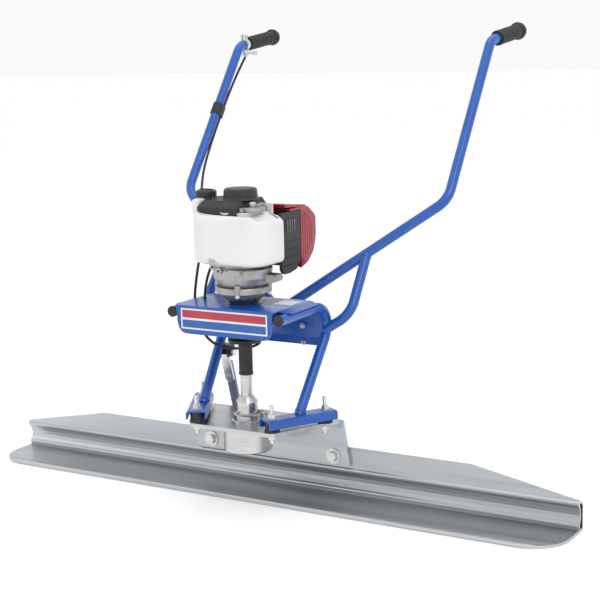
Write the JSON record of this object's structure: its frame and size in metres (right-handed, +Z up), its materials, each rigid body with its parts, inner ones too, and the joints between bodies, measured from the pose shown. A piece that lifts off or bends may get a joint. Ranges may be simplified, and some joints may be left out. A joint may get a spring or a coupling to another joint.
{
  "type": "power screed",
  "caption": "Petrol power screed: four-stroke engine on a blue tube frame drives an eccentric exciter on a full-width extruded aluminium blade, with swept operator handles",
  "frame": {"origin": "on the floor, on the underside of the blade, directly below the vertical shaft line of engine and exciter", "axes": "+X runs along the blade to the right of someone facing the skirt, +Y points back to the operator grips, +Z is up"},
  "size_m": [1.2192, 0.6827, 0.8638],
  "materials": {
    "blade_aluminium": "extruded, lightly scratched",
    "housing_aluminium": "machined",
    "cast_aluminium": "die cast, satin",
    "piston_aluminium": "machined",
    "zinc_steel": "zinc plated",
    "machined_steel": "ground",
    "dark_steel": "black oxide",
    "blue_paint": "powder coat, semi-gloss",
    "black_rubber": "matt, moulded",
    "black_plastic": "textured",
    "white_plastic": "translucent moulded tank",
    "red_plastic": "gloss",
    "black_paint": "satin",
    "grey_paint": "satin"
  },
  "bodies": {
    "screed_frame": {"air_cleaner": "black_plastic", "blade_bolts": "zinc_steel", "cable_strap": "black_rubber", "carburettor": "cast_aluminium", "clutch_case": "cast_aluminium", "clutch_shoes": "machined_steel", "connecting_rod": "machined_steel", "crankcase": "cast_aluminium", "crankshaft": "machined_steel", "cylinder": "cast_aluminium", "deck_cover": "blue_paint", "engine_bolts": "zinc_steel", "exciter_bearings": "machined_steel", "exciter_bracket": "blade_aluminium", "exciter_housing": "housing_aluminium", "flywheel": "piston_aluminium", "foot_channel_left": "blue_paint", "foot_channel_right": "blue_paint", "frame_end_caps": "black_rubber", "frame_tube_left": "blue_paint", "frame_tube_right": "blue_paint", "fuel_tank": "white_plastic", "grip_left": "black_rubber", "grip_right": "black_rubber", "handle_base": "blue_paint", "handle_brace_left": "blue_paint", "handle_brace_right": "blue_paint", "handle_tube_left": "blue_paint", "handle_tube_right": "blue_paint", "head_cover": "red_plastic", "isolator_studs": "zinc_steel", "isolators": "black_rubber", "muffler": "dark_steel", "piston": "piston_aluminium", "rear_plate": "blue_paint", "rear_plate_bolts": "zinc_steel", "recoil_housing": "black_plastic", "rubber_sleeve": "black_rubber", "screed_blade": "blade_aluminium", "shaft_base": "housing_aluminium", "shaft_head": "dark_steel", "shaft_tube": "housing_aluminium", "side_cover": "black_plastic", "spark_plug": "machined_steel", "stand_bracket": "black_paint", "stand_pin": "zinc_steel", "throttle_cable": "black_plastic", "throttle_clamp": "zinc_steel", "throttle_lever_screw": "zinc_steel"},
    "exciter_rotor": {"drive_shaft": "machined_steel", "eccentric_weight": "machined_steel", "clutch_drum": "machined_steel"},
    "throttle_trigger": {"throttle_lever": "zinc_steel"},
    "carb_arm": {"carb_throttle_arm": "zinc_steel"},
    "recoil_handle": {"recoil_grip": "black_plastic"},
    "recoil_reel": {"recoil_pulley": "black_plastic"},
    "filler_cap": {"fuel_cap": "black_plastic"},
    "kickstand": {"stand_link": "zinc_steel", "stand_leg": "grey_paint", "stand_bolts": "zinc_steel"}
  },
  "joints": [
    {"name": "exciter_spin", "type": "hinge", "parent": "screed_frame", "child": "exciter_rotor", "pos_m": [0, 0, 0.25], "axis": [0, 0, 1], "continuous": true},
    {"name": "throttle_squeeze", "type": "hinge", "parent": "screed_frame", "child": "throttle_trigger", "pos_m": [-0.28965, 0.48194, 0.81268], "axis": [0, 0.1247, -0.9922], "range_deg": [0, 36], "stiffness_Nm_per_rad": 0.08},
    {"name": "carb_throttle", "type": "hinge", "parent": "screed_frame", "child": "carb_arm", "pos_m": [-0.06, 0.08, 0.4928], "axis": [0, 0, -1], "range_deg": [0, 54]},
    {"name": "starter_pull", "type": "slide", "parent": "screed_frame", "child": "recoil_handle", "axis": [-0.8575, 0.5145, 0], "range_m": [0, 0.45]},
    {"name": "starter_reel", "type": "hinge", "parent": "screed_frame", "child": "recoil_reel", "pos_m": [0, 0, 0.5505], "axis": [0, 0, 1], "range_deg": [0, 2070]},
    {"name": "filler_cap_turn", "type": "hinge", "parent": "screed_frame", "child": "filler_cap", "pos_m": [-0.069, -0.008, 0.5673], "axis": [0, 0, 1], "range_deg": [0, 360]},
    {"name": "kickstand_fold", "type": "hinge", "parent": "screed_frame", "child": "kickstand", "pos_m": [-0.105, 0.092, 0.252], "axis": [1, 0, 0], "range_deg": [0, 75]}
  ],
  "couplings": [
    {"joint": "carb_throttle", "follows": "throttle_squeeze", "ratio": 1.5},
    {"joint": "starter_reel", "follows": "starter_pull", "rad_per_m": 80}
  ]
}
